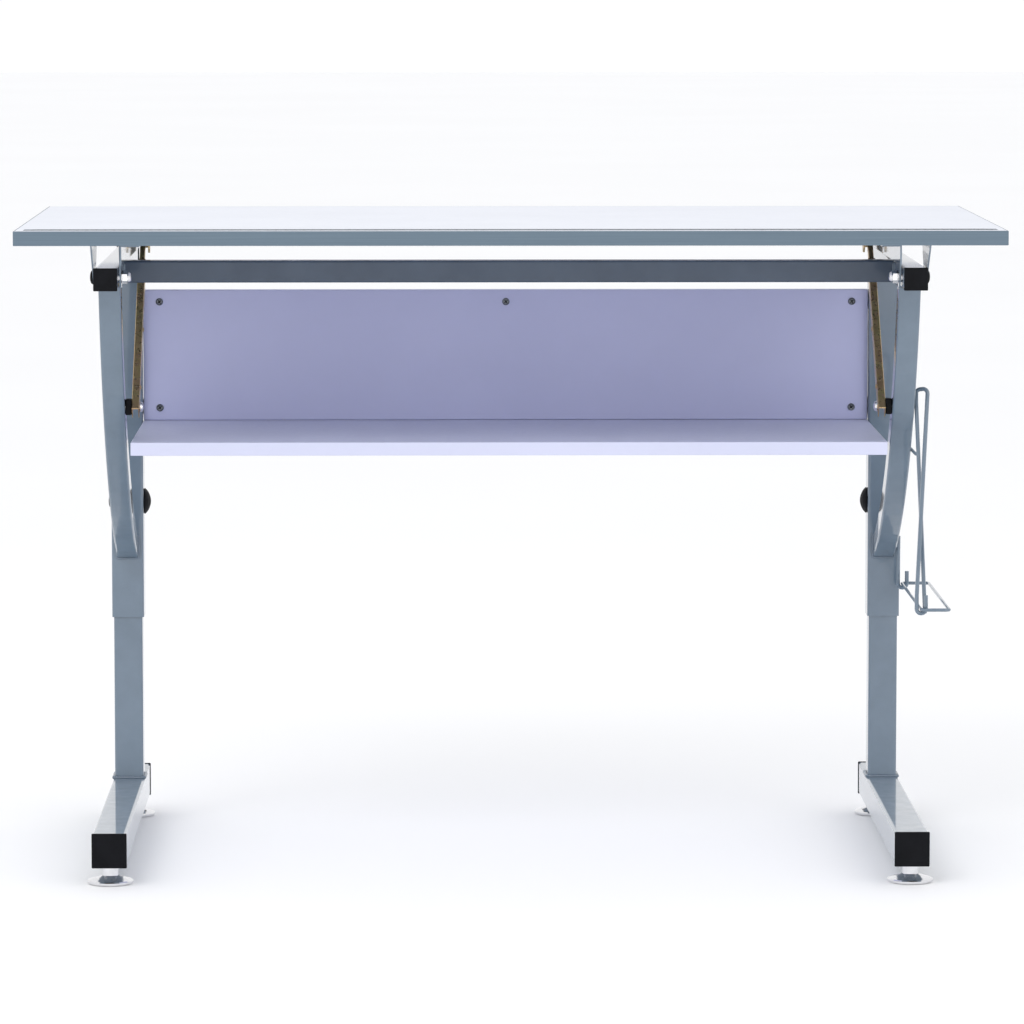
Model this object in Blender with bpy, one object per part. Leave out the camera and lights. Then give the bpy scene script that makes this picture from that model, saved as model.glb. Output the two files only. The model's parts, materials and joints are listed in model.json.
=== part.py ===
"""Tilting drafting table with two telescopic C-shaped side frames.

Metres, +Z up.  The origin is on the floor under the centre of the desktop.
+X is the user's right hand, -Y is the side the user sits at (the front).
Every sub-part is its own object; pieces that move hang from an empty that
stands on their joint's axis.

Side-frame functions take the side's name, its sign along X and, where it
varies, the parent.  "Inner" and "outer" on a side frame mean toward and away
from the middle of the table.
"""
import math
import bpy
import bmesh
from mathutils import Matrix, Vector

# ------------------------------------------------------------ dimensions ----
GAP = 0.0003              # working gap between neighbouring solids
CUT = 0.010               # how far a cutter reaches past the faces it cuts

# desktop
TOP_W, TOP_D, TOP_T = 1.100, 0.600, 0.016
TOP_Z = 0.735             # writing surface above the floor
TOP_UNDER = TOP_Z - TOP_T
MOUNT_Z = TOP_UNDER - GAP  # upper face of the metalwork under the desktop
BAND_T = 0.0012           # edge band thickness
BAND_DROP = 0.0002        # edge band reaches this far below the board
SCALE_L, SCALE_W, SCALE_T = 1.080, 0.030, 0.0008
SCALE_Y = -0.269          # centre line of the inlaid measuring strip

# side frames
SIDE_X = 0.450            # centre plane of each side frame
SLIM = 0.025              # square tube of arms, struts and front crossbar
SLIM_WALL = 0.0015
SLIM_CORNER = 0.0022
COL = 0.038               # outer square tube of the columns and floor bars
COL_WALL = 0.0015
COL_CORNER = 0.003
INNER = 0.034             # telescoping inner tube
INNER_WALL = 0.0015
INNER_CORNER = 0.0028
INNER_Z1 = 0.515
COL_Y = 0.173             # column centre line
COL_Z0, COL_Z1 = 0.2527, 0.6672
ARM_Z0 = COL_Z1 + GAP
ARM_MID_Z = ARM_Z0 + SLIM / 2
ARM_Y0, ARM_Y1 = -0.272, 0.205

# curved front strut: a circular arc in the side plane
ARC_Y, ARC_Z = 0.335, 0.858
ARC_R = 0.564 - SLIM / 2  # centre line radius, from that of the front face
ARC_STEPS = 18

# floor bars and levelling feet
BAR_Z0 = 0.021
BAR_MID_Z = BAR_Z0 + COL / 2
BAR_Y0, BAR_Y1 = -0.273, 0.276
FEET = (("front", -0.250), ("rear", 0.253))
FOOT_R, FOOT_HUB_R, FOOT_STEM_R = 0.026, 0.009, 0.005
FOOT_PLAY = 0.0005        # between the stem and its hole

# plastic end caps of floor bars and arms
CAP_T = 0.0027
CAP_OVERLAP = 0.001       # the plug starts this far inside the cap plate
PLUG_DEPTH, PLUG_PLAY = 0.012, 0.0006
BAR_CAP_RIM = 0.0007      # plate's overhang past the tube
ARM_CAP_RIM_X, ARM_CAP_RIM_Z = 0.0009, 0.0003

# crossbar, rails, shelf and back panel
CROSS_Y = -0.120 + SLIM / 2
RAIL, RAIL_CORNER, RAIL_WALL = 0.020, 0.002, 0.0012
SHELF_HALF = 0.4303
SHELF_Y0, SHELF_Y1 = -0.140, 0.180
SHELF_Z1, SHELF_T = 0.487, 0.015
PANEL_Y0, PANEL_T = 0.165, 0.015
PANEL_Z1 = 0.642
BOARD_BEVEL = 0.0008
RAIL_Y = PANEL_Y0 + PANEL_T + GAP + RAIL / 2
SCREW_X, SCREW_ZT, SCREW_ZB = 0.411, 0.628, 0.502
SCREW_HEAD = 0.0027       # height of the screw head
SCREWS = (                # name, x, z
    ("top_left", -SCREW_X, SCREW_ZT),
    ("top_middle", 0.0, SCREW_ZT),
    ("top_right", SCREW_X, SCREW_ZT),
    ("bottom_left", -SCREW_X, SCREW_ZB),
    ("bottom_right", SCREW_X, SCREW_ZB),
)
PANEL_HOLE_R = 0.0024
RAIL_HOLE_R, RAIL_HOLE_REACH = 0.0023, 0.006

# tilt pivot and its bracket
PIVOT_Y, PIVOT_Z = -0.225, ARM_MID_Z
BOLT_R = 0.0040
HOLE_R = BOLT_R + 0.0003
EAR_OUT, EAR_IN = SIDE_X + 0.0157, SIDE_X - 0.0157  # outermost, innermost faces
EAR_T = 0.0018
EAR_REAR_Y = -0.186
EAR_OUT_FRONT_Y, EAR_IN_FRONT_Y = -0.288, -0.250
EAR_NOSE_R = 0.012        # round lower end about the pivot
SADDLE_Y0, SADDLE_Y1, SADDLE_T = -0.249, -0.190, 0.002
EAR_OVERLAP = 0.0004      # the saddle stops this far short of the outside faces
NUT_WIDTH, NUT_T = 0.013, 0.0060    # across flats, thickness

# angle rail under the desktop
DESK_RAIL_X = 0.4333      # outer face of its upright leg
DESK_RAIL_Y0, DESK_RAIL_Y1 = -0.283, 0.262
DESK_RAIL_W, DESK_RAIL_H, DESK_RAIL_T = 0.022, 0.0225, 0.002

# ratchet stays
STAY_Z = 0.525            # height of the lower pin
STAY_TOP = Vector((0, 0.081, 0.700))    # upper pin
STAY_XO, STAY_XI = 0.4300, 0.4215       # outer and inner face of the channel
STAY_BAR_INSET = 0.0013   # the bar is this much narrower on each side
STAY_BAR_X = 0.4270       # place of the bar's joint along X
STAY_PIN_R, STAY_HOLE_R = 0.0030, 0.0033
STUD_R = 0.0034
CHANNEL_L0, CHANNEL_L1 = -0.010, 0.226  # along the stay from the lower pin
CHANNEL_HALF = 0.008
BAR_L0, BAR_L1 = -0.180, 0.0075         # along the stay from the upper pin
BAR_HALF = 0.0055
NOTCH_START, NOTCH_PITCH, NOTCH_W, NOTCHES = -0.165, 0.016, 0.005, 6
NOTCH_FLOOR = -0.0030     # across the stay
SPACER_HALF_Y, SPACER_HALF_Z = 0.007, 0.009
LUG_XO, LUG_XI = 0.4195, 0.4175         # desktop lug that takes the stay
LUG_TOP_Z = TOP_UNDER - 0.0028
LUG_PLATE_W, LUG_PLATE_HALF_D, LUG_PLATE_T = 0.020, 0.016, 0.002

# clamp for the height setting
CLAMP_Z = 0.390
KNOB_X = SIDE_X - COL / 2 - GAP         # back of the knob
KNOB_R, KNOB_T, KNOB_BORE = 0.0155, 0.008, 0.0058
SLOT_Z0, SLOT_Z1, SLOT_R = 0.256, 0.499, 0.0046

# wire rack on the right-hand side frame
WIRE_R, TRAY_R = 0.0024, 0.0020
RACK_XI, RACK_XO = 0.4660, 0.4765       # inner and outer legs of the wire eyes
RACK_FAR = 0.5030         # outer side of the tray
RACK_YF, RACK_YR = -0.124, 0.137
RACK_Z = 0.2885           # bottom of the wire eyes
RACK_TOP = 0.5460
EYE_BEND = 0.0052
TRAY_OVERHANG, TRAY_BEND = 0.008, 0.005
ROD_X, ROD_Z = RACK_XI - 0.0005, 0.470
ROD_Y0, ROD_MID_Y = RACK_YF + 0.0185, 0.05

# ------------------------------------------------------------- scene --------
for old in list(bpy.data.objects):
    bpy.data.objects.remove(old, do_unlink=True)
SCENE_OBJECTS = bpy.context.scene.collection.objects


def material(name, colour, roughness, metallic=0.0):
    mat = bpy.data.materials.new(name)
    mat.use_nodes = True
    shader = mat.node_tree.nodes["Principled BSDF"]
    shader.inputs["Base Color"].default_value = (*colour, 1.0)
    shader.inputs["Roughness"].default_value = roughness
    shader.inputs["Metallic"].default_value = metallic
    return mat


STEEL = material("frame_paint", colour=(0.19, 0.25, 0.31), roughness=0.35)
BAND = material("edge_band", colour=(0.17, 0.24, 0.28), roughness=0.45)
WHITE = material("white_laminate", colour=(0.86, 0.87, 0.93), roughness=0.35)
LILAC = material("panel_laminate", colour=(0.62, 0.62, 0.78), roughness=0.4)
BLACK = material("black_plastic", colour=(0.012, 0.013, 0.016), roughness=0.5)
CHROME = material("chrome", colour=(0.75, 0.75, 0.76), roughness=0.12, metallic=1.0)
YELLOW = material("yellow_zinc", colour=(0.55, 0.38, 0.18), roughness=0.3, metallic=1.0)
SCALE = material("scale_strip", colour=(0.45, 0.48, 0.52), roughness=0.45)
SCREW = material("screw_steel", colour=(0.22, 0.23, 0.24), roughness=0.35, metallic=1.0)


# ----------------------------------------------------------- object helpers --
def place(ob, origin, parent):
    """Link ob with its origin at a world position under parent."""
    SCENE_OBJECTS.link(ob)
    ob.parent = parent
    base = parent.matrix_world.translation if parent else Vector()
    ob.location = Vector(origin) - base
    bpy.context.view_layer.update()     # children read the world matrix
    return ob


def empty(name, origin, parent=None):
    joint = bpy.data.objects.new(name, None)
    joint.empty_display_size = 0.03
    return place(joint, origin, parent)


def add(name, bm, mat, parent=None, origin=(0, 0, 0)):
    """Object from a bmesh built about origin, a world position."""
    bmesh.ops.remove_doubles(bm, verts=bm.verts, dist=1e-6)
    bmesh.ops.recalc_face_normals(bm, faces=bm.faces)
    mesh = bpy.data.meshes.new(name)
    bm.to_mesh(mesh)
    bm.free()
    mesh.materials.append(mat)
    return place(bpy.data.objects.new(name, mesh), origin, parent)


def boolean(ob, tool_bm, operation):
    """Apply a boolean of ob with a bmesh given in world coordinates."""
    tool = add("tool", tool_bm, ob.data.materials[0])
    mod = ob.modifiers.new("boolean", "BOOLEAN")
    mod.operation = operation
    mod.object = tool
    mod.solver = "EXACT"
    bpy.context.view_layer.update()
    depsgraph = bpy.context.evaluated_depsgraph_get()
    mesh = bpy.data.meshes.new_from_object(ob.evaluated_get(depsgraph))
    ob.modifiers.clear()
    ob.data = mesh
    bpy.data.objects.remove(tool, do_unlink=True)
    bpy.context.view_layer.update()


def cut(ob, tool_bm):
    boolean(ob, tool_bm, 'DIFFERENCE')


def join(ob, tool_bm):
    boolean(ob, tool_bm, 'UNION')


def shade_smooth(ob, sharp_degrees):
    ob.data.shade_smooth()
    ob.data.set_sharp_from_angle(angle=math.radians(sharp_degrees))


# --------------------------------------------------------- geometry helpers --
def span(sign, a, b):
    """The interval a..b mirrored to one side of the table, low end first."""
    return sorted((sign * a, sign * b))


def arc_2d(cx, cy, radius, start, sweep, steps):
    """Points of a circular arc in the plane, angles in degrees."""
    angles = [math.radians(start + sweep * i / steps) for i in range(steps + 1)]
    return [(cx + radius * math.cos(a), cy + radius * math.sin(a)) for a in angles]


def box(x0, x1, y0, y1, z0, z1, bevel=0.0, seg=2):
    bm = bmesh.new()
    bmesh.ops.create_cube(bm, size=1.0)
    scale = Matrix.Diagonal((x1 - x0, y1 - y0, z1 - z0, 1.0))
    shift = Matrix.Translation(((x0 + x1) / 2, (y0 + y1) / 2, (z0 + z1) / 2))
    bmesh.ops.transform(bm, matrix=shift @ scale, verts=bm.verts)
    if bevel:
        bmesh.ops.bevel(bm, geom=list(bm.edges), offset=bevel, segments=seg,
                        profile=0.5, affect='EDGES')
    return bm


def bridge(bm, ring_a, ring_b):
    """Quads between two closed vertex rings of equal length."""
    n = len(ring_a)
    for i in range(n):
        j = (i + 1) % n
        bm.faces.new((ring_a[i], ring_a[j], ring_b[j], ring_b[i]))


def skin(bm, rings, closed=False):
    """Skin a list of point rings; returns the vertex rings."""
    vert_rings = [[bm.verts.new(p) for p in ring] for ring in rings]
    for a, b in zip(vert_rings[:-1], vert_rings[1:]):
        bridge(bm, a, b)
    if closed:
        bridge(bm, vert_rings[-1], vert_rings[0])
    return vert_rings


def round_square(size, corner):
    """2-D loop of a square with round corners, centred on the origin."""
    k = size / 2 - corner
    points = []
    for sx, sy, start in ((1, 1, 0), (-1, 1, 90), (-1, -1, 180), (1, -1, 270)):
        points += arc_2d(sx * k, sy * k, corner, start, 90, steps=3)
    return points


def square_tube(frames, size, corner, wall):
    """Hollow square tube through frames (centre, u, v, tangent, end normal).

    Where an end normal is given, the section is mitred onto its plane.
    """
    def section(loop, centre, u, v, tangent, normal):
        ring = []
        for a, b in loop:
            point = centre + u * a + v * b
            if normal is not None:
                off_plane = (point - centre).dot(normal) / tangent.dot(normal)
                point = point - tangent * off_plane
            ring.append(point)
        return ring

    bm = bmesh.new()
    outer_loop = round_square(size, corner)
    inner_loop = round_square(size - 2 * wall, max(corner - wall, 0.0006))
    outer = skin(bm, [section(outer_loop, *frame) for frame in frames])
    inner = skin(bm, [section(inner_loop, *frame) for frame in frames])
    bridge(bm, outer[0], inner[0])
    bridge(bm, outer[-1], inner[-1])
    return bm


def straight_tube(start, end, size, corner, wall, up=(0, 0, 1)):
    start, end, v = Vector(start), Vector(end), Vector(up)
    tangent = (end - start).normalized()
    u = v.cross(tangent).normalized()
    frames = [(point, u, v, tangent, None) for point in (start, end)]
    return square_tube(frames, size, corner, wall)


def lathe(profile, axis, seg, at=(0, 0, 0)):
    """Turned solid from (radius, height) pairs that start and end on the axis."""
    bm = bmesh.new()
    rings = []
    for radius, h in profile:
        ring = []
        for i in range(seg if radius > 1e-9 else 1):
            angle = 2 * math.pi * i / seg
            x, y = radius * math.cos(angle), radius * math.sin(angle)
            ring.append(bm.verts.new({'X': (h, x, y), 'Y': (x, h, -y), 'Z': (x, y, h)}[axis]))
        rings.append(ring)
    for a, b in zip(rings[:-1], rings[1:]):
        for i in range(seg):
            j = (i + 1) % seg
            if len(a) == 1:
                bm.faces.new((a[0], b[i], b[j]))
            elif len(b) == 1:
                bm.faces.new((a[i], a[j], b[0]))
            else:
                bm.faces.new((a[i], a[j], b[j], b[i]))
    bmesh.ops.translate(bm, vec=at, verts=bm.verts)
    return bm


def side_lathe(profile, sign, seg, at=(0, 0, 0)):
    """Turned solid along X, its heights measured outward from the middle."""
    return lathe([(radius, sign * x) for radius, x in profile], 'X', seg, at)


def cylinder(axis, radius, h0, h1, at, seg=24):
    return lathe([(0, h0), (radius, h0), (radius, h1), (0, h1)], axis, seg, at)


def prism(polygon, h0, h1, axis='X'):
    """Extrude a (y, z) polygon along X, or an (x, z) polygon along Y."""
    bm = bmesh.new()
    ends = []
    for h in (h0, h1):
        points = [(h, a, b) if axis == 'X' else (a, h, b) for a, b in polygon]
        ends.append([bm.verts.new(p) for p in points])
    bm.faces.new(ends[0])
    bm.faces.new(ends[1])
    bridge(bm, *ends)
    return bm


def smooth_path(points, bend, seg, closed=False):
    """Round the corners of a polyline to the bend radius."""
    points = [Vector(p) for p in points]
    path = []
    n = len(points)
    for i, p in enumerate(points):
        if not closed and i in (0, n - 1):
            path.append(p)
            continue
        to_prev = points[(i - 1) % n] - p
        to_next = points[(i + 1) % n] - p
        half = 0.5 * to_prev.angle(to_next)
        radius = min(bend, 0.49 * min(to_prev.length, to_next.length) * math.tan(half))
        setback = radius / math.tan(half)
        to_prev.normalize()
        to_next.normalize()
        centre = p + (to_prev + to_next).normalized() * (radius / math.sin(half))
        outward = (p + to_prev * setback - centre).normalized()
        travel = -to_prev
        for k in range(seg + 1):
            angle = (math.pi - 2 * half) * k / seg
            path.append(centre + radius * (outward * math.cos(angle)
                                           + travel * math.sin(angle)))
    return path


def wire(path, radius, seg=8, closed=False):
    """Round wire along a path, with parallel-transported sections.

    A closed path has to be planar, as no twist is corrected.
    """
    n = len(path)
    tangents = []
    for i in range(n):
        before = path[(i - 1) % n] if (closed or i > 0) else path[i]
        after = path[(i + 1) % n] if (closed or i < n - 1) else path[i]
        tangents.append((after - before).normalized())
    u = tangents[0].orthogonal().normalized()
    rings = []
    for point, tangent in zip(path, tangents):
        u = (u - tangent * u.dot(tangent)).normalized()
        v = tangent.cross(u)
        angles = [2 * math.pi * k / seg for k in range(seg)]
        rings.append([point + radius * (u * math.cos(a) + v * math.sin(a))
                      for a in angles])
    bm = bmesh.new()
    vert_rings = skin(bm, rings, closed)
    if not closed:
        bm.faces.new(vert_rings[0])
        bm.faces.new(vert_rings[-1])
    return bm


# ------------------------------------------------------- floor bar and feet --
def end_cap(name, x, z, y_end, direction, tube, wall, rim_x, rim_z, bevel,
            plug_bevel, parent):
    """Cap plate over a tube end, with a plug reaching into the tube."""
    half_x, half_z = tube / 2 + rim_x, tube / 2 + rim_z
    y0, y1 = sorted((y_end + direction * GAP, y_end + direction * (GAP + CAP_T)))
    cap = add(name, box(x - half_x, x + half_x, y0, y1, z - half_z, z + half_z, bevel),
              BLACK, parent)
    y0, y1 = sorted((y_end + direction * (GAP + CAP_OVERLAP),
                     y_end - direction * PLUG_DEPTH))
    k = tube / 2 - wall - PLUG_PLAY
    join(cap, box(x - k, x + k, y0, y1, z - k, z + k, plug_bevel, 1))


def floor_bar(side, sign, base):
    """Square tube, drilled below for the two feet, capped at both ends."""
    x = sign * SIDE_X
    bar = add(side + "_floor_bar",
              straight_tube((x, BAR_Y0, BAR_MID_Z), (x, BAR_Y1, BAR_MID_Z),
                            COL, COL_CORNER, COL_WALL), STEEL, base)
    for _, y in FEET:
        cut(bar, cylinder('Z', FOOT_STEM_R + FOOT_PLAY, BAR_Z0 - CUT, BAR_Z0 + CUT,
                          (x, y, 0)))
    for end, y, direction in (("front", BAR_Y0, -1), ("rear", BAR_Y1, 1)):
        end_cap(side + "_floor_cap_" + end, x, BAR_MID_Z, y, direction, COL, COL_WALL,
                rim_x=BAR_CAP_RIM, rim_z=BAR_CAP_RIM, bevel=0.0011,
                plug_bevel=0.0012, parent=base)


def inner_tube(side, sign, base):
    """Telescoping tube with a clamp slot in both side walls."""
    x = sign * SIDE_X
    tube = add(side + "_inner_tube",
               straight_tube((x, COL_Y, BAR_Z0 + COL + GAP), (x, COL_Y, INNER_Z1),
                             INNER, INNER_CORNER, INNER_WALL, up=(0, 1, 0)),
               STEEL, base)
    slot = (arc_2d(COL_Y, SLOT_Z1 - SLOT_R, SLOT_R, 0, 180, steps=8)
            + arc_2d(COL_Y, SLOT_Z0 + SLOT_R, SLOT_R, 180, 180, steps=8))
    reach = INNER / 2 + CUT
    cut(tube, prism(slot, x - reach, x + reach))


def levelling_feet(side, sign, base):
    """Each foot is one turned piece: dished disc, hub and stem."""
    profile = [         # radius, height above the floor
        (0, 0), (FOOT_R - 0.001, 0), (FOOT_R, 0.0012), (FOOT_R, 0.0030),
        (FOOT_R - 0.0015, 0.0042), (FOOT_R - 0.006, 0.0056), (0.0125, 0.0078),
        (FOOT_HUB_R, 0.0092), (FOOT_HUB_R, 0.0202), (FOOT_STEM_R, 0.0204),
        (FOOT_STEM_R, 0.0450), (FOOT_STEM_R - 0.001, 0.0460), (0, 0.0460),
    ]
    for end, y in FEET:
        origin = (sign * SIDE_X, y, 0)
        joint = empty("axis_foot_%s_%s" % (side, end), origin, base)
        foot = add("%s_%s_foot" % (side, end), lathe(profile, 'Z', 28), CHROME,
                   joint, origin)
        shade_smooth(foot, sharp_degrees=35)


# ------------------------------------------------- column, arm, front strut --
def column(side, sign):
    """Outer tube, drilled for the clamp bolt."""
    x = sign * SIDE_X
    tube = add(side + "_column",
               straight_tube((x, COL_Y, COL_Z0), (x, COL_Y, COL_Z1), COL,
                             COL_CORNER, COL_WALL, up=(0, 1, 0)), STEEL, FRAME)
    reach = COL / 2 + CUT
    cut(tube, cylinder('X', HOLE_R, x - reach, x + reach, (0, COL_Y, CLAMP_Z)))


def arm(side, sign):
    """Slim tube on top of the column, drilled for the tilt pivot, capped."""
    x = sign * SIDE_X
    tube = add(side + "_arm",
               straight_tube((x, ARM_Y0, ARM_MID_Z), (x, ARM_Y1, ARM_MID_Z),
                             SLIM, SLIM_CORNER, SLIM_WALL), STEEL, FRAME)
    reach = SLIM / 2 + CUT
    cut(tube, cylinder('X', HOLE_R, x - reach, x + reach, (0, PIVOT_Y, PIVOT_Z)))
    for end, y, direction in (("front", ARM_Y0, -1), ("rear", ARM_Y1, 1)):
        end_cap(side + "_arm_cap_" + end, x, ARM_MID_Z, y, direction, SLIM, SLIM_WALL,
                rim_x=ARM_CAP_RIM_X, rim_z=ARM_CAP_RIM_Z, bevel=0.0010,
                plug_bevel=0.0010, parent=FRAME)


def arc_angle(z):
    """Angle at which the strut's centre line passes height z."""
    return math.pi + math.asin((ARC_Z - z) / ARC_R)


def arc_point(angle, x=0):
    return Vector((x, ARC_Y + ARC_R * math.cos(angle), ARC_Z + ARC_R * math.sin(angle)))


# the stay's lower pin lies on the strut's centre line
STAY_FOOT = Vector((0, arc_point(arc_angle(STAY_Z)).y, STAY_Z))


def front_strut(side, sign):
    """Bent tube, mitred level under the arm and upright against the column."""
    start = arc_angle(COL_Z1)
    end = math.pi + math.acos((ARC_Y - COL_Y + COL / 2 + GAP) / ARC_R)
    end_normals = {0: Vector((0, 0, 1)), ARC_STEPS: Vector((0, 1, 0))}
    frames = []
    for i in range(ARC_STEPS + 1):
        angle = start + (end - start) * i / ARC_STEPS
        tangent = Vector((0, -math.sin(angle), math.cos(angle)))
        radial = Vector((0, math.cos(angle), math.sin(angle)))
        frames.append((arc_point(angle, sign * SIDE_X), Vector((1, 0, 0)), radial,
                       tangent, end_normals.get(i)))
    strut = add(side + "_front_strut",
                square_tube(frames, SLIM, SLIM_CORNER, SLIM_WALL), STEEL, FRAME)
    # hole for the stay's bolt, in the inner wall only
    x = sign * (SIDE_X - SLIM / 2)
    cut(strut, cylinder('X', STAY_HOLE_R, x - 0.006, x + 0.006, STAY_FOOT))


# ------------------------------------------------------------- height clamp --
def clamp(side, sign):
    """Bolt with a mushroom head outside and a knob inside."""
    head = SIDE_X + COL / 2 + GAP
    tip = SIDE_X - COL / 2 - 0.0055
    bolt = [            # radius, x
        (0, head + 0.0032), (0.0045, head + 0.0029), (0.0070, head + 0.0018),
        (0.0078, head + 0.0006), (0.0078, head), (BOLT_R, head),
        (BOLT_R, tip), (0, tip),
    ]
    add(side + "_clamp_bolt", side_lathe(bolt, sign, 24, (0, COL_Y, CLAMP_Z)),
        CHROME, FRAME)

    origin = (sign * KNOB_X, COL_Y, CLAMP_Z)
    joint = empty("axis_knob_" + side, origin, FRAME)
    knob = [            # radius, height from the knob's back; starts in its bore
        (0, KNOB_BORE), (HOLE_R, KNOB_BORE), (HOLE_R, 0),
        (KNOB_R - 0.0006, 0), (KNOB_R, 0.0009), (KNOB_R - 0.0016, 0.0027),
        (KNOB_R - 0.0045, 0.0049), (0.0070, 0.0067), (0.0032, 0.0077), (0, KNOB_T),
    ]
    ob = add(side + "_clamp_knob", side_lathe(knob, -sign, 28), BLACK, joint, origin)
    shade_smooth(ob, sharp_degrees=40)


# ------------------------------------------------------------ ratchet stays --
STAY_LENGTH = (STAY_TOP - STAY_FOOT).length
STAY_ALONG = (STAY_TOP - STAY_FOOT).normalized()
STAY_ACROSS = Vector((0, -STAY_ALONG.z, STAY_ALONG.y))    # points forward and up


def stay_box(x0, x1, along0, along1, across0, across1, bevel=0.0):
    """Box in the stay's own directions, measured from its lower pin."""
    bm = box(x0, x1, along0, along1, across0, across1, bevel, 1)
    for vert in bm.verts:
        point = STAY_FOOT + STAY_ALONG * vert.co.y + STAY_ACROSS * vert.co.z
        vert.co = Vector((vert.co.x, point.y, point.z))
    return bm


def stay_pin(side, sign):
    """Spacer block and domed bolt that carry the stay on the strut."""
    x0, x1 = span(sign, SIDE_X - SLIM / 2 - GAP, STAY_XO + GAP)
    y, z = STAY_FOOT.yz
    spacer = add(side + "_stay_spacer",
                 box(x0, x1, y - SPACER_HALF_Y, y + SPACER_HALF_Y,
                     z - SPACER_HALF_Z, z + SPACER_HALF_Z, 0.0008, 1), BLACK, FRAME)
    cut(spacer, cylinder('X', STAY_HOLE_R, x0 - CUT, x1 + CUT, STAY_FOOT))
    tip = SIDE_X - SLIM / 2 + 0.006
    head = STAY_XI - GAP
    bolt = [            # radius, x
        (0, tip), (STAY_PIN_R, tip), (STAY_PIN_R, head), (0.0058, head),
        (0.0060, head - 0.0012), (0.0050, head - 0.0034),
        (0.0025, head - 0.0046), (0, head - 0.0049),
    ]
    add(side + "_stay_bolt", side_lathe(bolt, sign, 20, STAY_FOOT), CHROME, FRAME)


def stay(side, sign):
    """U-channel, open to the rear and below, and the notched bar inside it."""
    joint = empty("axis_stay_" + side, (sign * STAY_XO, *STAY_FOOT.yz), FRAME)
    x0, x1 = span(sign, STAY_XO, STAY_XI)
    channel = add(side + "_stay_channel",
                  stay_box(x0, x1, CHANNEL_L0, CHANNEL_L1, -CHANNEL_HALF,
                           CHANNEL_HALF, 0.0006), YELLOW, joint)
    wall = 0.0010
    cut(channel, stay_box(x0 + wall, x1 - wall, CHANNEL_L0 - CUT, CHANNEL_L1 + CUT,
                          -CHANNEL_HALF - CUT, CHANNEL_HALF - wall))
    cut(channel, cylinder('X', STAY_HOLE_R, x0 - CUT, x1 + CUT, STAY_FOOT))

    bar_joint = empty("axis_stay_bar_" + side, (sign * STAY_BAR_X, *STAY_TOP.yz), joint)
    x0, x1 = span(sign, STAY_XO - STAY_BAR_INSET, STAY_XI + STAY_BAR_INSET)
    bar = add(side + "_stay_bar",
              stay_box(x0, x1, STAY_LENGTH + BAR_L0, STAY_LENGTH + BAR_L1,
                       -BAR_HALF, BAR_HALF, 0.0008), YELLOW, bar_joint)
    for i in range(NOTCHES):
        start = STAY_LENGTH + NOTCH_START + NOTCH_PITCH * i
        cut(bar, stay_box(x0 - CUT, x1 + CUT, start, start + NOTCH_W,
                          -BAR_HALF - CUT, NOTCH_FLOOR))
    # stud toward the desktop lug
    x0, x1 = span(sign, STAY_XI + 0.0020, LUG_XO + 0.0004)
    join(bar, cylinder('X', STUD_R, x0, x1, STAY_TOP, 16))


def stay_bracket(side, sign):
    """Small angle under the desktop: a tapered lug and a flat plate."""
    y, z = STAY_TOP.yz
    lug = [             # y, z
        (y - 0.012, LUG_TOP_Z), (y + 0.012, LUG_TOP_Z), (y + 0.009, z - 0.004),
        (y + 0.004, z - 0.009), (y - 0.004, z - 0.009), (y - 0.009, z - 0.004),
    ]
    bracket = add(side + "_stay_bracket", prism(lug, *span(sign, LUG_XO, LUG_XI)),
                  YELLOW, BOARD)
    join(bracket, box(*span(sign, LUG_XO, LUG_XO - LUG_PLATE_W),
                      y - LUG_PLATE_HALF_D, y + LUG_PLATE_HALF_D,
                      LUG_TOP_Z - LUG_PLATE_T, LUG_TOP_Z, 0.0004, 1))


# ------------------------------------------- desk rail, tilt bracket, pivot --
def desk_rail(side, sign):
    """Angle under the desktop, its upright leg on the outer side."""
    outer, thick = DESK_RAIL_X, DESK_RAIL_T
    section = [         # x, z
        (outer, MOUNT_Z), (outer - DESK_RAIL_W, MOUNT_Z),
        (outer - DESK_RAIL_W, MOUNT_Z - thick), (outer - thick, MOUNT_Z - thick),
        (outer - thick, MOUNT_Z - DESK_RAIL_H), (outer, MOUNT_Z - DESK_RAIL_H),
    ]
    add(side + "_desk_rail",
        prism([(sign * x, z) for x, z in section], DESK_RAIL_Y0, DESK_RAIL_Y1, 'Y'),
        STEEL, BOARD)


def tilt_bracket(side, sign):
    """Saddle with an ear on each side of the arm."""
    def ear(front_y, xa, xb):
        outline = [(EAR_REAR_Y, MOUNT_Z), (front_y, MOUNT_Z)]
        outline += arc_2d(PIVOT_Y, PIVOT_Z, EAR_NOSE_R, 200, 140, steps=8)
        return prism(outline, *span(sign, xa, xb))

    bracket = add(side + "_tilt_bracket",
                  ear(EAR_OUT_FRONT_Y, EAR_OUT, EAR_OUT - EAR_T), STEEL, BOARD)
    join(bracket, ear(EAR_IN_FRONT_Y, EAR_IN + EAR_T, EAR_IN))
    join(bracket, box(*span(sign, EAR_OUT - EAR_OVERLAP, EAR_IN + EAR_OVERLAP),
                      SADDLE_Y0, SADDLE_Y1, MOUNT_Z - SADDLE_T, MOUNT_Z))
    cut(bracket, cylinder('X', HOLE_R, *span(sign, EAR_IN - CUT, EAR_OUT + CUT),
                          (0, PIVOT_Y, PIVOT_Z)))


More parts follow.
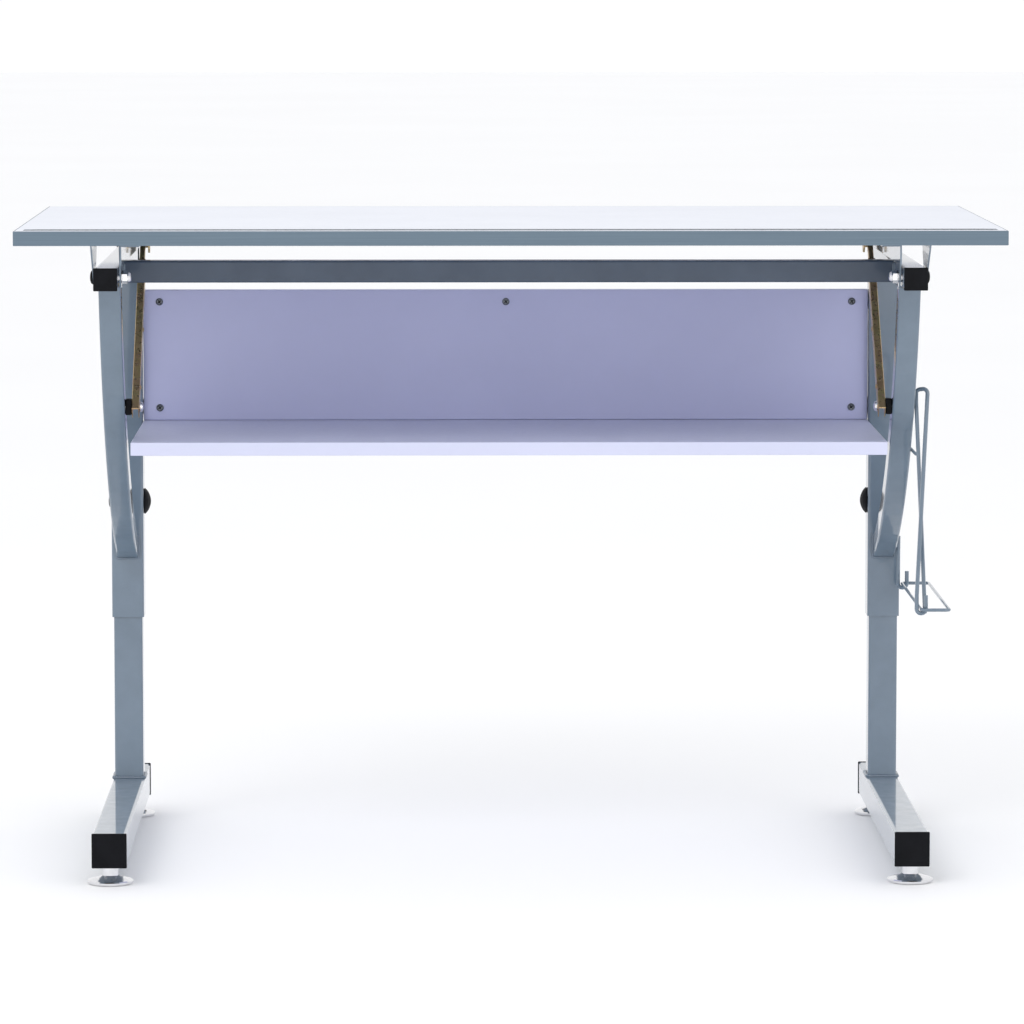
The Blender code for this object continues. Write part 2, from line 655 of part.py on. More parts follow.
def tilt_bolt(side, sign):
    """Pivot bolt: low domed head outside, hexagon nut with a cap inside."""
    head = EAR_OUT + GAP
    nut = EAR_IN - GAP
    pivot = (0, PIVOT_Y, PIVOT_Z)
    shank = [           # radius, x
        (0, head + 0.0030), (0.0040, head + 0.0027), (0.0066, head + 0.0016),
        (0.0074, head + 0.0005), (0.0074, head), (BOLT_R, head),
        (BOLT_R, nut - 0.0080), (0, nut - 0.0080),
    ]
    bolt = add(side + "_tilt_bolt", side_lathe(shank, sign, 20, pivot), CHROME, FRAME)
    hexagon = arc_2d(PIVOT_Y, PIVOT_Z, NUT_WIDTH / math.sqrt(3), 30, 300, steps=5)
    join(bolt, prism(hexagon, *span(sign, nut, nut - NUT_T)))
    cap = [             # radius, x
        (0, nut - 0.005), (0.0058, nut - 0.005), (0.0058, nut - 0.0075),
        (0.0042, nut - 0.0100), (0, nut - 0.0110),
    ]
    join(bolt, side_lathe(cap, sign, 20, pivot))


# ------------------------------------------------------------ cross pieces --
def front_crossbar():
    x = SIDE_X - SLIM / 2 - GAP
    add("front_crossbar",
        straight_tube((-x, CROSS_Y, ARM_MID_Z), (x, CROSS_Y, ARM_MID_Z), SLIM,
                      SLIM_CORNER, SLIM_WALL), STEEL, FRAME)


def rear_rails():
    """Two rails behind the back panel, front walls drilled for its screws."""
    for name, z in (("rear_upper_rail", SCREW_ZT), ("rear_lower_rail", SCREW_ZB)):
        rail = add(name, straight_tube((-SHELF_HALF, RAIL_Y, z), (SHELF_HALF, RAIL_Y, z),
                                       RAIL, RAIL_CORNER, RAIL_WALL), STEEL, FRAME)
        for _, screw_x, screw_z in SCREWS:
            if screw_z == z:
                cut(rail, cylinder('Y', RAIL_HOLE_R, -RAIL_HOLE_REACH, RAIL_HOLE_REACH,
                                   (screw_x, RAIL_Y - RAIL / 2, z), 16))


def shelf():
    add("shelf", box(-SHELF_HALF, SHELF_HALF, SHELF_Y0, SHELF_Y1,
                     SHELF_Z1 - SHELF_T, SHELF_Z1, BOARD_BEVEL), WHITE, FRAME)


def back_panel():
    """Upright panel on the shelf, with its five pan-head screws."""
    panel = add("back_panel",
                box(-SHELF_HALF, SHELF_HALF, PANEL_Y0, PANEL_Y0 + PANEL_T,
                    SHELF_Z1 + GAP, PANEL_Z1, BOARD_BEVEL), LILAC, FRAME)
    screw = [           # radius, y from the front of the head
        (0, 0.0010), (0.0016, 0.0010), (0.0030, 0.0008), (0.0042, 0.0020),
        (0.0044, SCREW_HEAD), (0.0020, SCREW_HEAD), (0.0020, 0.0210), (0, 0.0230),
    ]
    for name, x, z in SCREWS:
        cut(panel, cylinder('Y', PANEL_HOLE_R, -CUT, PANEL_T + CUT, (x, PANEL_Y0, z), 16))
        add("panel_screw_" + name,
            lathe(screw, 'Y', 18, (x, PANEL_Y0 - GAP - SCREW_HEAD, z)), SCREW, FRAME)


# ----------------------------------------------------------------- desktop --
def desktop():
    """Board with the measuring strip let in near its front edge."""
    half_w, half_d = TOP_W / 2 - BAND_T - GAP, TOP_D / 2 - BAND_T - GAP
    board = add("desktop_board",
                box(-half_w, half_w, -half_d, half_d, TOP_UNDER, TOP_Z), WHITE, BOARD)
    half_l = SCALE_L / 2
    y0, y1 = SCALE_Y - SCALE_W / 2, SCALE_Y + SCALE_W / 2
    cut(board, box(-half_l - GAP, half_l + GAP, y0 - GAP, y1 + GAP,
                   TOP_Z - SCALE_T - GAP, TOP_Z + CUT))
    add("desktop_scale_strip", box(-half_l, half_l, y0, y1, TOP_Z - SCALE_T, TOP_Z),
        SCALE, BOARD)


def edge_band():
    half_w, half_d = TOP_W / 2, TOP_D / 2
    band = add("desktop_edge_band",
               box(-half_w, half_w, -half_d, half_d, TOP_UNDER - BAND_DROP, TOP_Z,
                   0.0007), BAND, BOARD)
    cut(band, box(-half_w + BAND_T, half_w - BAND_T, -half_d + BAND_T, half_d - BAND_T,
                  TOP_UNDER - CUT, TOP_Z + CUT))


# --------------------------------------------------------------- side rack --
def rack_uprights():
    """Front: hook, eye, up the inner leg, over the top, and down again.
    Rear: hook, eye and a short inner leg."""
    paths = {
        "rack_front_upright": [         # x, y, z
            (RACK_XO, RACK_YF, RACK_Z + 0.021),
            (RACK_XO, RACK_YF, RACK_Z),
            (RACK_XI, RACK_YF, RACK_Z),
            (RACK_XI, RACK_YF, RACK_Z + 0.020),
            (RACK_XO + 0.0012, RACK_YF + 0.008, RACK_TOP),
            (RACK_XI - 0.0010, RACK_YF + 0.0140, RACK_TOP - 0.0020),
            (RACK_XI - 0.0006, RACK_YF + 0.0165, RACK_TOP - 0.0180),
            (RACK_XO, RACK_YF + 0.0100, RACK_Z - 0.0010),
        ],
        "rack_rear_upright": [
            (RACK_XO, RACK_YR, RACK_Z + 0.020),
            (RACK_XO, RACK_YR, RACK_Z),
            (RACK_XI, RACK_YR, RACK_Z),
            (RACK_XI, RACK_YR, RACK_Z + 0.040),
            (RACK_XI, RACK_YR - 0.003, RACK_Z + 0.062),
        ],
    }
    for name, path in paths.items():
        add(name, wire(smooth_path(path, EYE_BEND, 5), WIRE_R), STEEL, RACK)


def rack_tray():
    """Closed loop of thinner wire lying in both eyes."""
    z = RACK_Z + WIRE_R + TRAY_R + GAP
    x = (RACK_XI + RACK_XO) / 2
    y0, y1 = RACK_YF - TRAY_OVERHANG, RACK_YR + TRAY_OVERHANG
    corners = [(x, y0, z), (RACK_FAR, y0, z), (RACK_FAR, y1, z), (x, y1, z)]
    loop = smooth_path(corners, TRAY_BEND, 4, closed=True)
    add("rack_tray", wire(loop, TRAY_R, closed=True), STEEL, RACK)


def rack_back_rod():
    """Straight rod from the front upright to the column."""
    stations = (ROD_Y0, ROD_MID_Y, COL_Y - COL / 2 - GAP)
    path = [Vector((ROD_X, y, ROD_Z)) for y in stations]
    add("rack_back_rod", wire(path, TRAY_R), STEEL, RACK)


# ------------------------------------------------------------------- build --
ROOT = empty("axis_base_left", (-SIDE_X, COL_Y, 0))
FRAME = empty("axis_frame", (0, COL_Y, COL_Z0), ROOT)
BASE_RIGHT = empty("axis_base_right", (SIDE_X, COL_Y, 0), FRAME)
BOARD = empty("axis_tilt", (0, PIVOT_Y, PIVOT_Z), FRAME)
RACK = empty("axis_rack", (SIDE_X + COL / 2, 0, RACK_Z), FRAME)

for side_name, side_sign, side_base in (("left", -1, ROOT), ("right", 1, BASE_RIGHT)):
    for build in (floor_bar, inner_tube, levelling_feet):
        build(side_name, side_sign, side_base)
    for build in (column, arm, front_strut, clamp, stay_pin, stay, stay_bracket,
                  desk_rail, tilt_bracket, tilt_bolt):
        build(side_name, side_sign)

front_crossbar()
rear_rails()
shelf()
back_panel()
desktop()
edge_band()
rack_uprights()
rack_tray()
rack_back_rod()
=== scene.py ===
"""Desk with a tilting board, a shelf, a panel and a side rack on a welded frame.

Dresses the CAD pieces in procedural materials, adds weld beads, screw recesses, a printed
scale, rivets and bolt covers, then sets the stage. Metres; +x is right, -y is front, +z is up.
"""
import json
import math
import bpy
import bmesh
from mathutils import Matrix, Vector


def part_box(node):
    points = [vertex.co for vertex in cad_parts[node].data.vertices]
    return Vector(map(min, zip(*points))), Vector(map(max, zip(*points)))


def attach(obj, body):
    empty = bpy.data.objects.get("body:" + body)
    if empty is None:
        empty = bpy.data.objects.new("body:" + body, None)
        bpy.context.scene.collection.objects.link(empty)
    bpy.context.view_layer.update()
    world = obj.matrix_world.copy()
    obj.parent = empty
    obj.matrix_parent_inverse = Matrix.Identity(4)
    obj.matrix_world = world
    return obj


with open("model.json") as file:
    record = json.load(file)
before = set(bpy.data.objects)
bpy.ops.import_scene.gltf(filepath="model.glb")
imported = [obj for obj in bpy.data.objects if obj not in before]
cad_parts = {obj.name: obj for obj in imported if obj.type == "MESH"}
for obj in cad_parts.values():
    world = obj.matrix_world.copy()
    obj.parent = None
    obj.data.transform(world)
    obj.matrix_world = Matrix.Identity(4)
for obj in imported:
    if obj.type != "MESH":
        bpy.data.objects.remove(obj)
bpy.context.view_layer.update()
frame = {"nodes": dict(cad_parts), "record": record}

NODES = frame["nodes"]
SIDES = {"left": -1, "right": 1}  # side name and the sign of its x


# ---------------------------------------------------------------- materials
def srgb(*channels):
    """Linear RGBA from 0-255 sRGB channels."""
    linear = []
    for value in channels:
        value = value / 255.0
        linear.append(value / 12.92 if value <= 0.04045 else ((value + 0.055) / 1.055) ** 2.4)
    return (*linear, 1.0)


def shades(rgb, darker, lighter, low=0.30, high=0.70):
    """Two ramp stops either side of a colour."""
    return [(low, srgb(*(value - darker for value in rgb))),
            (high, srgb(*(value + lighter for value in rgb)))]


class Finish:
    """Builds a node material on object coordinates."""

    def __init__(self, name, rough=0.4, metal=0.0):
        self.material = bpy.data.materials.new(name)
        self.material.use_nodes = True
        self.tree = self.material.node_tree
        self.shader = self.tree.nodes["Principled BSDF"].inputs
        self.shader["Roughness"].default_value = rough
        self.shader["Metallic"].default_value = metal
        self.coords = self.tree.nodes.new("ShaderNodeTexCoord").outputs["Object"]

    def node(self, kind, **inputs):
        """New node; input names are given with _ for a space."""
        node = self.tree.nodes.new(kind)
        for key, value in inputs.items():
            node.inputs[key.replace("_", " ")].default_value = value
        return node

    def link(self, output, target):
        self.tree.links.new(output, target)

    def stretched(self, *scale):
        mapping = self.node("ShaderNodeMapping", Scale=scale)
        self.link(self.coords, mapping.inputs["Vector"])
        return mapping.outputs["Vector"]

    def noise(self, scale, detail=4.0, rough=0.55, coords=None):
        noise = self.node("ShaderNodeTexNoise", Scale=scale, Detail=detail, Roughness=rough)
        self.link(coords or self.coords, noise.inputs["Vector"])
        return noise.outputs["Fac"]

    def colour(self, fac, stops):
        ramp = self.node("ShaderNodeValToRGB")
        elements = ramp.color_ramp.elements
        while len(elements) < len(stops):
            elements.new(0.5)
        for element, (position, colour) in zip(elements, stops):
            element.position = position
            element.color = colour
        self.link(fac, ramp.inputs["Fac"])
        self.link(ramp.outputs["Color"], self.shader["Base Color"])

    def rough(self, fac, lo, hi):
        remap = self.node("ShaderNodeMapRange", From_Min=0.3, From_Max=0.7, To_Min=lo, To_Max=hi)
        self.link(fac, remap.inputs["Value"])
        self.link(remap.outputs["Result"], self.shader["Roughness"])

    def bump(self, fac, strength, distance=0.0003):
        bump = self.node("ShaderNodeBump", Strength=strength, Distance=distance)
        self.link(fac, bump.inputs["Height"])
        self.link(bump.outputs["Normal"], self.shader["Normal"])


def powder_coat(name, rgb, spread=5, coat=1.0):
    """Satin powder coat: fine orange peel, faint cloudy colour drift."""
    finish = Finish(name)
    finish.colour(finish.noise(scale=22.0, detail=5.0), shades(rgb, spread, spread))
    peel = finish.noise(scale=900.0, detail=2.0, rough=0.5)
    finish.rough(finish.noise(scale=60.0, detail=6.0), lo=0.30, hi=0.42)
    finish.bump(peel, strength=0.08)
    finish.shader["Coat Weight"].default_value = coat
    finish.shader["Coat Roughness"].default_value = 0.05
    return finish.material


def laminate(name, rgb):
    """Melamine face: even colour, pearl grain in the pressed surface."""
    finish = Finish(name)
    finish.colour(finish.noise(scale=7.0, detail=6.0, rough=0.6),
                  shades(rgb, darker=3, lighter=3, low=0.25, high=0.75))
    finish.rough(finish.noise(scale=140.0, detail=6.0, rough=0.6), lo=0.34, hi=0.46)
    finish.bump(finish.noise(scale=1400.0, detail=3.0, rough=0.6), strength=0.16)
    return finish.material


def edging(name, rgb):
    """Extruded edge band: fine lengthwise drawing lines."""
    finish = Finish(name)
    streak = finish.noise(scale=1.0, detail=5.0, rough=0.6,
                          coords=finish.stretched(6.0, 6.0, 900.0))
    finish.colour(streak, shades(rgb, darker=5, lighter=4))
    finish.rough(finish.noise(scale=80.0), lo=0.36, hi=0.48)
    finish.bump(streak, strength=0.12)
    return finish.material


def moulded(name, rgb):
    """Moulded dark plastic with spark-eroded grain; its light stop leans to blue."""
    finish = Finish(name)
    red, green, blue = rgb
    finish.colour(finish.noise(scale=50.0), [(0.3, srgb(red - 4, green - 4, blue - 4)),
                                             (0.7, srgb(red + 5, green + 5, blue + 6))])
    finish.rough(finish.noise(scale=300.0), lo=0.45, hi=0.62)
    finish.shader["Specular IOR Level"].default_value = 0.12
    finish.bump(finish.noise(scale=1800.0, detail=3.0, rough=0.7), strength=0.35)
    return finish.material


def plated(name, rgb, rough_lo, rough_hi, spread):
    """Plated metal: faint haze and fine polishing marks."""
    finish = Finish(name, rough=0.15, metal=1.0)
    finish.colour(finish.noise(scale=120.0), shades(rgb, spread, spread))
    finish.rough(finish.noise(scale=260.0, detail=5.0), rough_lo, rough_hi)
    finish.bump(finish.noise(scale=1.0, rough=0.6,
                             coords=finish.stretched(300.0, 1500.0, 1500.0)), strength=0.06)
    return finish.material


def passivated(name):
    """Yellow passivated zinc: brown-gold with pink and green drift."""
    finish = Finish(name, rough=0.3, metal=0.95)
    finish.colour(finish.noise(scale=38.0, detail=5.0, rough=0.65),
                  [(0.30, srgb(172, 144, 108)), (0.44, srgb(190, 160, 124)),
                   (0.53, srgb(196, 172, 126)), (0.62, srgb(178, 162, 116)),
                   (0.74, srgb(200, 166, 138))])
    finish.rough(finish.noise(scale=220.0, detail=5.0), lo=0.22, hi=0.42)
    finish.bump(finish.noise(scale=1.0, detail=5.0, rough=0.65,
                             coords=finish.stretched(1400.0, 260.0, 260.0)),
                strength=0.16, distance=0.0004)
    return finish.material


def printed(name, rgb):
    """Matt printed plastic strip."""
    finish = Finish(name)
    finish.colour(finish.noise(scale=30.0), shades(rgb, darker=4, lighter=4))
    finish.rough(finish.noise(scale=200.0), lo=0.42, hi=0.55)
    finish.bump(finish.noise(scale=1500.0, detail=3.0), strength=0.12, distance=0.0002)
    return finish.material


PAINT = powder_coat("paint_greyblue", (98, 115, 131))
# Darker, less coated copy of the frame paint for the front crossbar: painted shade from the
# board above it
CROSSBAR_PAINTED_SHADE = powder_coat("paint_greyblue_painted_shade", (52, 67, 86), coat=0.25)
PAINT_WELD = powder_coat("paint_greyblue_weld", (90, 106, 122), spread=9)
BAND = edging("edging_greyblue", (92, 110, 124))
WHITE = laminate("laminate_white", (222, 225, 234))
# Shelf and panel: the white laminate made darker and bluer, painted shade from the board above
# them
SHELF_PAINTED_SHADE = laminate("laminate_shelf_painted_shade", (200, 203, 226))
PANEL_PAINTED_SHADE = laminate("laminate_panel_painted_shade", (187, 190, 224))
BLACK = moulded("plastic_black", (10, 11, 15))
CHROME = plated("plating_bright", (226, 226, 228), rough_lo=0.08, rough_hi=0.20, spread=6)
SCREW = plated("screw_dark", (112, 116, 120), rough_lo=0.25, rough_hi=0.42, spread=14)
ZINC = passivated("zinc_yellow")
STRIP = printed("strip_grey", (108, 116, 128))
INK = printed("ink_dark", (20, 22, 30))
# Near-black stand-in for the screw recesses, on the moulded finish: painted shade in the hollow
# of the cross
RECESS_PAINTED_SHADE = moulded("recess_painted_shade", (22, 23, 26))

BY_SLOT = {"frame_paint": PAINT, "edge_band": BAND, "white_laminate": WHITE,
           "panel_laminate": PANEL_PAINTED_SHADE, "black_plastic": BLACK, "chrome": CHROME,
           "yellow_zinc": ZINC, "scale_strip": STRIP, "screw_steel": SCREW}
BY_NODE = {"shelf": SHELF_PAINTED_SHADE, "front_crossbar": CROSSBAR_PAINTED_SHADE}  # these override the slot's material with darker copies: painted shade under the board

for subpart in frame["record"]["subparts"]:
    obj = NODES[subpart["node"]]
    material = BY_NODE.get(subpart["node"], BY_SLOT[subpart["material_slot"]])
    if not obj.material_slots:
        obj.data.materials.append(material)
    for slot in obj.material_slots:
        slot.material = material


# ---------------------------------------------------------------- mesh helpers
def piece(name, bm, material, body, smooth=False):
    """Turn a bmesh into an object that rides on a body of the desk."""
    mesh = bpy.data.meshes.new(name)
    bmesh.ops.recalc_face_normals(bm, faces=bm.faces)
    bm.to_mesh(mesh)
    bm.free()
    mesh.materials.append(material)
    if smooth:
        mesh.shade_smooth()
    obj = bpy.data.objects.new(name, mesh)
    bpy.context.scene.collection.objects.link(obj)
    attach(obj, body)


def bridge(bm, first, second):
    """Wall of quads between two rings of equal count."""
    for i in range(len(first)):
        j = (i + 1) % len(first)
        bm.faces.new((first[i], first[j], second[j], second[i]))


def skin(bm, rings, closed=False):
    """Join rings in turn; an open run gets end caps, a closed one meets itself."""
    for first, second in zip(rings[:-1], rings[1:]):
        bridge(bm, first, second)
    if closed:
        bridge(bm, rings[-1], rings[0])
    else:
        bm.faces.new(rings[0])
        bm.faces.new(rings[-1])


def turned(profile, y, z, segments):
    """Solid turned about an x-wise axis from (radius, x) stations."""
    bm = bmesh.new()
    angles = [2 * math.pi * k / segments for k in range(segments)]
    skin(bm, [[bm.verts.new((x, y + radius * math.cos(angle), z + radius * math.sin(angle)))
               for angle in angles] for radius, x in profile])
    return bm


def tube(centres, radii, closed, segments=8):
    """Round tube along centres with its own radius at every ring."""
    bm = bmesh.new()
    count = len(centres)
    rings = []
    across = None
    for i, centre in enumerate(centres):
        before = centres[(i - 1) % count] if (closed or i) else centre
        after = centres[(i + 1) % count] if (closed or i < count - 1) else centre
        along = (after - before).normalized()
        across = along.orthogonal() if across is None else across
        across = (across - along * across.dot(along)).normalized()
        other = along.cross(across)
        rings.append([bm.verts.new(centre + radii[i] * (
            across * math.cos(2 * math.pi * k / segments)
            + other * math.sin(2 * math.pi * k / segments))) for k in range(segments)])
    skin(bm, rings, closed)
    return bm


# ---------------------------------------------------------------- welds
BEAD_STEP = 0.0009     # distance between rings of a bead
RIPPLE_RINGS = 3.6     # rings in one ripple
BEAD_END_TAPER = 0.4   # radius factor at the ends of an open bead
STRUT_END_DEPTH = 0.0008  # vertices this near a strut's end belong to it
STRUT_WELD_GAP = 0.0004
FOOT_WELD_GAP = 0.0012
ARM_WELD_GAP = 0.0006
COLUMN_WELD_INSET = 0.002
CROSSBAR_END_INSET = 0.0002
CROSSBAR_WELD_INSET = 0.003


def weld(name, corners, body, radius, closed=False):
    """Weld bead: overlapping ripples laid along a path of corner points."""
    corners = [Vector(corner) for corner in corners]
    legs = list(zip(corners, corners[1:]))
    if closed:
        legs.append((corners[-1], corners[0]))
    centres = []
    for start, end in legs:
        steps = max(3, int((end - start).length / BEAD_STEP))
        centres += [start.lerp(end, i / steps) for i in range(steps)]
    if not closed:
        centres.append(corners[-1])
    radii = []
    for i in range(len(centres)):
        ripple = 0.5 + 0.5 * math.sin(i * 2 * math.pi / RIPPLE_RINGS)
        drift = math.sin(i * 0.37) * 0.5 + math.sin(i * 0.113 + 1.0) * 0.5
        radii.append(radius * (0.84 + 0.20 * ripple + 0.10 * drift))
    if not closed:
        radii[0] *= BEAD_END_TAPER
        radii[-1] *= BEAD_END_TAPER
    piece(name, tube(centres, radii, closed), PAINT_WELD, body, smooth=True)


def rectangle(first_lo, first_hi, second_lo, second_hi, gap):
    """Corner pairs of a rectangle grown by a gap on every side."""
    return [(first_lo - gap, second_lo - gap), (first_hi + gap, second_lo - gap),
            (first_hi + gap, second_hi + gap), (first_lo - gap, second_hi + gap)]


def end_span(name, end_axis, end, span_axis):
    """Extent along span_axis of the vertices at a piece's high end on end_axis."""
    values = [vertex.co[span_axis] for vertex in NODES[name].data.vertices
              if vertex.co[end_axis] > end - STRUT_END_DEPTH]
    return min(values), max(values)


# Round the foot of each inner tube, on the floor bar
for side in SIDES:
    lo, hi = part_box(side + "_inner_tube")
    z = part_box(side + "_floor_bar")[1].z + 0.0008
    weld(side + "_foot_weld",
         [(x, y, z) for x, y in rectangle(lo.x, hi.x, lo.y, hi.y, FOOT_WELD_GAP)],
         "base_" + side, radius=0.0022, closed=True)

# Strut to arm, strut to column, and column to arm
for side in SIDES:
    strut = side + "_front_strut"
    strut_lo, strut_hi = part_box(strut)
    column_lo, column_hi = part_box(side + "_column")
    arm_lo, arm_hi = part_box(side + "_arm")

    z = arm_lo.z - 0.0005
    front, rear = end_span(strut, 2, strut_hi.z, 1)
    weld(side + "_strut_top_weld",
         [(x, y, z) for x, y in rectangle(strut_lo.x, strut_hi.x, front, rear, STRUT_WELD_GAP)],
         "frame", radius=0.0013, closed=True)

    y = strut_hi.y - 0.0006
    bottom, top = end_span(strut, 1, strut_hi.y, 2)
    weld(side + "_strut_foot_weld",
         [(x, y, z) for x, z in rectangle(strut_lo.x, strut_hi.x, bottom, top, STRUT_WELD_GAP)],
         "frame", radius=0.0014, closed=True)

    # On both sides the plain name is the +x face and "_inner" is the -x face
    z = column_hi.z - 0.0004
    for suffix, x in (("", arm_hi.x + ARM_WELD_GAP), ("_inner", arm_lo.x - ARM_WELD_GAP)):
        weld(side + "_column_top_weld" + suffix,
             [(x, column_lo.y + COLUMN_WELD_INSET, z), (x, column_hi.y - COLUMN_WELD_INSET, z)],
             "frame", radius=0.0014)

# Upright beads at the ends of the front crossbar
lo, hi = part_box("front_crossbar")
for side, x in (("left", lo.x + CROSSBAR_END_INSET), ("right", hi.x - CROSSBAR_END_INSET)):
    for edge, y in (("front", lo.y), ("rear", hi.y)):
        weld(f"crossbar_weld_{side}_{edge}",
             [(x, y, lo.z + CROSSBAR_WELD_INSET), (x, y, hi.z - CROSSBAR_WELD_INSET)],
             "frame", radius=0.0012)

# Upright tack near the top of the rack's rear upright, at the right strut's outer x
lo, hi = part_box("rack_rear_upright")
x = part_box("right_front_strut")[1].x + 0.0008
y = lo.y + 0.001
weld("rack_tack_rear", [(x, y, hi.z - 0.014), (x, y, hi.z - 0.001)], "frame", radius=0.0017)

# ---------------------------------------------------------------- screw recesses
RECESS_TURN = 38      # degrees the cross is turned in the screw head
RECESS_PROUD = 0.00008  # front face ahead of the head, so that it shows
RECESS_DEPTH = 0.0006
# Outline of one bar of the cross: along the bar, across the bar
RECESS_BAR = [(-0.0026, -0.0003), (-0.0016, -0.0006), (0.0016, -0.0006), (0.0026, -0.0003),
              (0.0026, 0.0003), (0.0016, 0.0006), (-0.0016, 0.0006), (-0.0026, 0.0003)]

# Each cross is a dark solid a hair proud of the head, not a hollow; its colour is painted shade
# in the recess
for name in [node for node in NODES if node.startswith("panel_screw")]:
    lo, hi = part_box(name)
    x, z = (lo.x + hi.x) / 2, (lo.z + hi.z) / 2
    bm = bmesh.new()
    for degrees in (RECESS_TURN, RECESS_TURN + 90):
        cos, sin = math.cos(math.radians(degrees)), math.sin(math.radians(degrees))
        front = [bm.verts.new((x + along * cos - across * sin, lo.y - RECESS_PROUD,
                               z + along * sin + across * cos))
                 for along, across in RECESS_BAR]
        back = [bm.verts.new((vert.co.x, lo.y + RECESS_DEPTH, vert.co.z)) for vert in front]
        bm.faces.new(front)
        bm.faces.new(back)
        bridge(bm, front, back)
    piece("recess_" + name, bm, RECESS_PAINTED_SHADE, "frame")

# ---------------------------------------------------------------- scale
SCALE_START = -0.53
SCALE_CM = 106
MARK_INSET = 0.0010  # from the strip's rear edge to the marks
# Width of a mark and its front end, measured from the strip's rear edge
CM_MARK, HALF_CM_MARK, MM_MARK = (0.0008, 0.0180), (0.0006, 0.0130), (0.0004, 0.0090)
DIGIT_WIDTH, DIGIT_HEIGHT, STROKE = 0.0024, 0.0068, 0.00062
DIGIT_GAP = 0.0008
DIGIT_INSET = 0.0030  # from the strip's front edge
# Seven-stroke digits: a top, b and c right, d bottom, e and f left, g middle
DIGIT_STROKES = {"0": "abcdef", "1": "bc", "2": "abged", "3": "abgcd", "4": "fgbc",
                 "5": "afgcd", "6": "afgedc", "7": "abc", "8": "abcdefg", "9": "abcfgd"}

strip_lo, strip_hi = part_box("desktop_scale_strip")
INK_Z = strip_hi.z + 0.00006


def ink(bm, x0, y0, x1, y1):
    """Flat rectangle of ink on the strip."""
    bm.faces.new([bm.verts.new((x, y, INK_Z))
                  for x, y in ((x0, y0), (x1, y0), (x1, y1), (x0, y1))])


def digit(bm, char, x, y):
    right, top = x + DIGIT_WIDTH, y + DIGIT_HEIGHT
    middle = y + DIGIT_HEIGHT / 2
    boxes = {"a": (x, top - STROKE, right, top),
             "b": (right - STROKE, middle, right, top),
             "c": (right - STROKE, y, right, middle),
             "d": (x, y, right, y + STROKE),
             "e": (x, y, x + STROKE, middle),
             "f": (x, middle, x + STROKE, top),
             "g": (x, middle - STROKE / 2, right, middle + STROKE / 2)}
    for stroke in DIGIT_STROKES[char]:
        ink(bm, *boxes[stroke])


bm = bmesh.new()
for i in range(SCALE_CM * 10 + 1):
    x = SCALE_START + i * 0.001
    width, reach = CM_MARK if i % 10 == 0 else HALF_CM_MARK if i % 5 == 0 else MM_MARK
    ink(bm, x - width / 2, strip_hi.y - reach, x + width / 2, strip_hi.y - MARK_INSET)
# Base line along the rear ends of the marks
half_line = (SCALE_CM * 0.01 + CM_MARK[0]) / 2
ink(bm, -half_line, strip_hi.y - 0.0014, half_line, strip_hi.y - 0.0004)
piece("scale_marks", bm, INK, "board")

bm = bmesh.new()
for i in range(SCALE_CM + 1):
    text = str(i)
    width = len(text) * DIGIT_WIDTH + (len(text) - 1) * DIGIT_GAP
    x = SCALE_START + i * 0.01 - width / 2
    for char in text:
        digit(bm, char, x, strip_lo.y + DIGIT_INSET)
        x += DIGIT_WIDTH + DIGIT_GAP
piece("scale_numbers", bm, INK, "board")

# ---------------------------------------------------------------- stay rivets
STAY_AIM = Vector((0, 0.081, 0.700))  # rivets lie on the line from the stay bolt to here
RIVET_PLACES = {"low": 0.030, "mid": 0.120, "top": 0.208}  # distance from the bolt
# Radius, height above the channel's inner face
RIVET_PROFILE = [(0.0030, 0.0), (0.0029, 0.0004), (0.0022, 0.0010), (0.0010, 0.0013)]

for side, sign in SIDES.items():
    lo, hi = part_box(side + "_stay_channel")
    inner_x = hi.x if sign < 0 else lo.x
    lo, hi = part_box(side + "_stay_bolt")
    bolt = Vector((0, (lo.y + hi.y) / 2, (lo.z + hi.z) / 2))
    along = (STAY_AIM - bolt).normalized()
    for tag, distance in RIVET_PLACES.items():
        centre = bolt + along * distance
        profile = [(radius, inner_x - sign * height) for radius, height in RIVET_PROFILE]
        piece(f"{side}_stay_rivet_{tag}", turned(profile, centre.y, centre.z, segments=16),
              ZINC, "stay_" + side, smooth=True)

# ---------------------------------------------------------------- bolt covers
# Bolt, head radius, axis y, axis z
COVERED_BOLTS = [("tilt_bolt", 0.0074, -0.225, 0.680),
                 ("clamp_bolt", 0.0078, 0.173, 0.390)]

for side, sign in SIDES.items():
    for tag, radius, y, z in COVERED_BOLTS:
        lo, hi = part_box(f"{side}_{tag}")
        tip = hi.x if sign > 0 else -lo.x
        # Radius, distance out from the desk's middle
        stations = [(radius + 0.0004, tip - 0.0031), (radius + 0.0005, tip - 0.0020),
                    (radius - 0.0006, tip - 0.0007), (radius - 0.0032, tip + 0.0003),
                    (0.0016, tip + 0.0006)]
        profile = [(ring_radius, sign * out) for ring_radius, out in stations]
        piece(f"{side}_{tag}_cover", turned(profile, y, z, segments=20),
              BLACK, "frame", smooth=True)

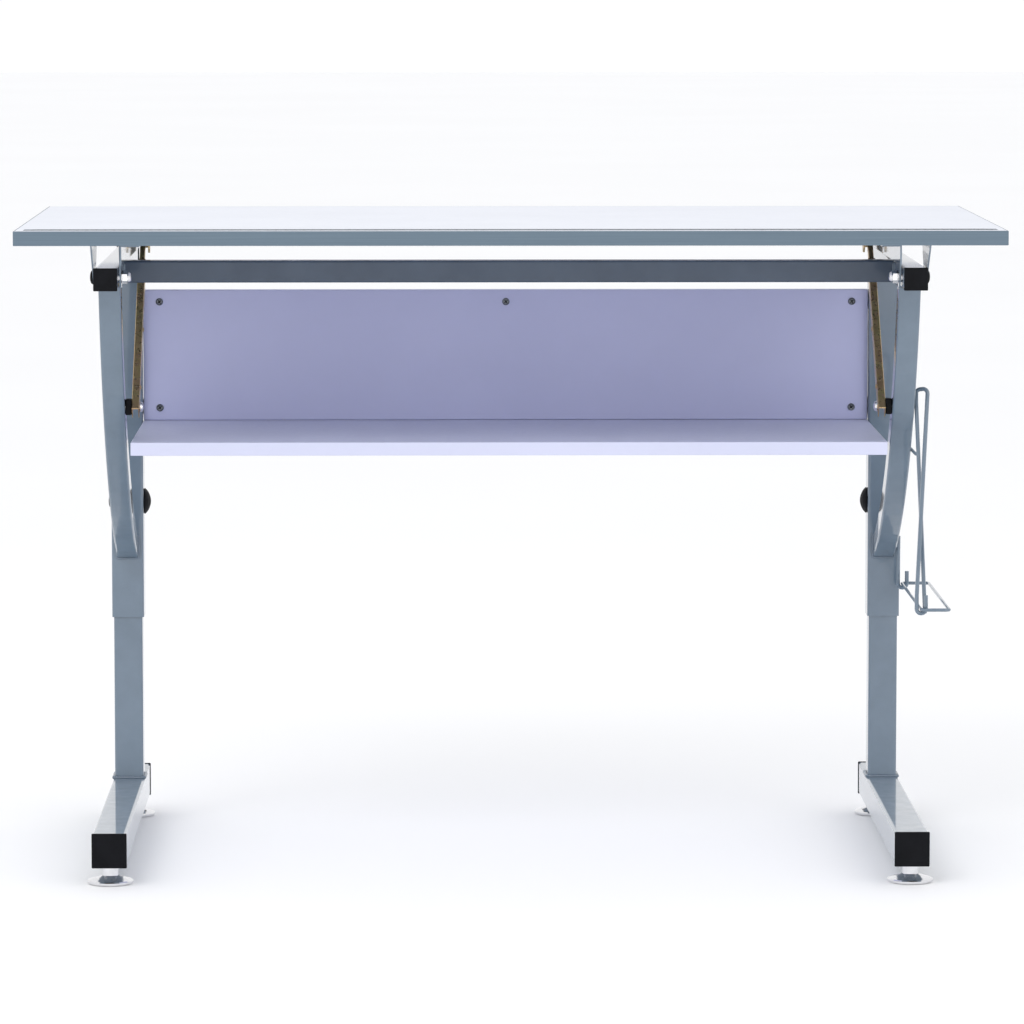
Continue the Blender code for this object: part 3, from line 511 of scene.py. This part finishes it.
# ---------------------------------------------------------------- stage
FLOOR_HALF_SIDE = 40.0
FLOOR_Z = -0.0006
AIM = (0, 0, 0.5)  # the lights point here

bm = bmesh.new()
bmesh.ops.create_grid(bm, x_segments=1, y_segments=1, size=FLOOR_HALF_SIDE)
mesh = bpy.data.meshes.new("floor")
bm.to_mesh(mesh)
bm.free()
finish = Finish("floor_pale", rough=0.7)
finish.colour(finish.noise(scale=0.6, detail=2.0),
              [(0.3, srgb(250, 250, 251)), (0.7, srgb(252, 252, 253))])
mesh.materials.append(finish.material)
floor = bpy.data.objects.new("floor", mesh)
floor.location = (0, 0, FLOOR_Z)
bpy.context.scene.collection.objects.link(floor)

world = bpy.data.worlds.new("studio")
bpy.context.scene.world = world
world.use_nodes = True
background = world.node_tree.nodes["Background"].inputs
background["Color"].default_value = (0.985, 0.99, 1.0, 1.0)
background["Strength"].default_value = 1.02


def area_light(name, place, size, watts):
    light = bpy.data.lights.new(name, "AREA")
    light.shape = "RECTANGLE"
    light.size, light.size_y = size
    light.energy = watts
    obj = bpy.data.objects.new(name, light)
    obj.location = place
    obj.rotation_euler = (Vector(AIM) - Vector(place)).to_track_quat("-Z", "Y").to_euler()
    bpy.context.scene.collection.objects.link(obj)


area_light("key", place=(-1.8, -3.2, 3.4), size=(2.4, 1.8), watts=46)
area_light("fill", place=(2.6, -3.4, 1.6), size=(2.0, 2.0), watts=12)
area_light("low", place=(0.2, -4.6, 0.9), size=(3.0, 1.2), watts=8)

# Long lens in front of the desk, looking slightly down and to the right
CAMERA_DOWN, CAMERA_RIGHT = 5.7085, 0.8151  # degrees
lens = bpy.data.cameras.new("camera")
lens.sensor_width = 36.0
lens.lens = 200.108
camera = bpy.data.objects.new("camera", lens)
camera.location = (-0.0887, -6.5832, 1.0515)
camera.rotation_euler = (math.radians(90.0 - CAMERA_DOWN), 0.0, math.radians(-CAMERA_RIGHT))
bpy.context.scene.collection.objects.link(camera)
bpy.context.scene.camera = camera
bpy.context.scene.view_settings.view_transform = "Standard"
